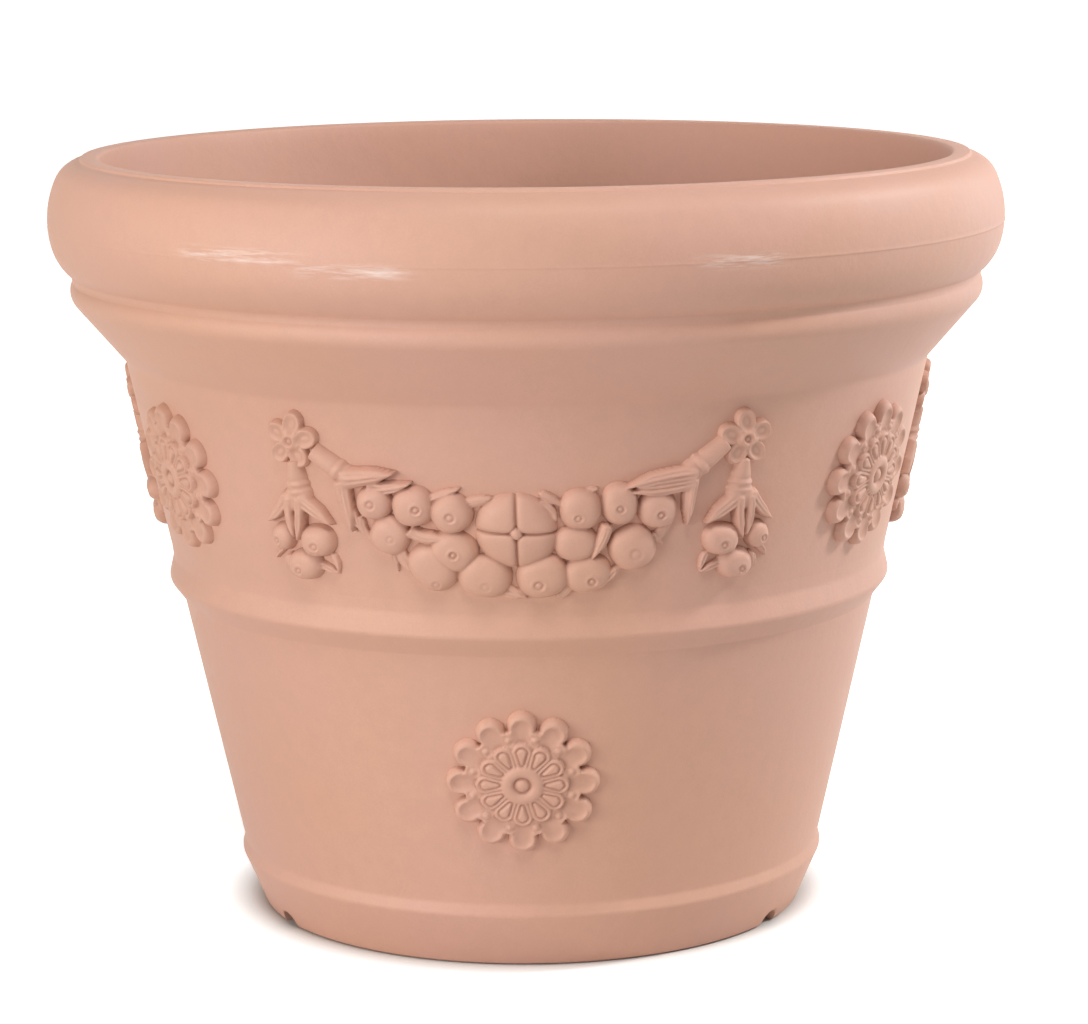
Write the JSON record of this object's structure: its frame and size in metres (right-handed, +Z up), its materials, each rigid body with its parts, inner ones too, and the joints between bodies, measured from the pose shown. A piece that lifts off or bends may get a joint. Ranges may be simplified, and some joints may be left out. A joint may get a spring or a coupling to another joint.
{
  "type": "terracotta flower pot",
  "caption": "Large round terracotta flower pot with a rolled rim, fruit swags hung between flowers, round rosettes and a drained foot.",
  "frame": {"origin": "centre of the foot, on the ground", "axes": "+Z up along the pot's axis; -Y through the middle of the first swag and the lower rosette under it"},
  "size_m": [0.6, 0.6, 0.478],
  "materials": {
    "terracotta": "matte",
    "sprig_terracotta": "matte"
  },
  "bodies": {
    "root": {"pot_body": "terracotta", "swag_1": "sprig_terracotta", "swag_2": "sprig_terracotta", "swag_3": "sprig_terracotta", "flower_1_left": "sprig_terracotta", "flower_1_right": "sprig_terracotta", "flower_2_left": "sprig_terracotta", "flower_2_right": "sprig_terracotta", "flower_3_left": "sprig_terracotta", "flower_3_right": "sprig_terracotta", "pendant_1_left": "sprig_terracotta", "pendant_1_right": "sprig_terracotta", "pendant_2_left": "sprig_terracotta", "pendant_2_right": "sprig_terracotta", "pendant_3_left": "sprig_terracotta", "pendant_3_right": "sprig_terracotta", "upper_rosette_1": "sprig_terracotta", "upper_rosette_2": "sprig_terracotta", "upper_rosette_3": "sprig_terracotta", "lower_rosette_1": "sprig_terracotta", "lower_rosette_2": "sprig_terracotta", "lower_rosette_3": "sprig_terracotta"}
  },
  "joints": []
}
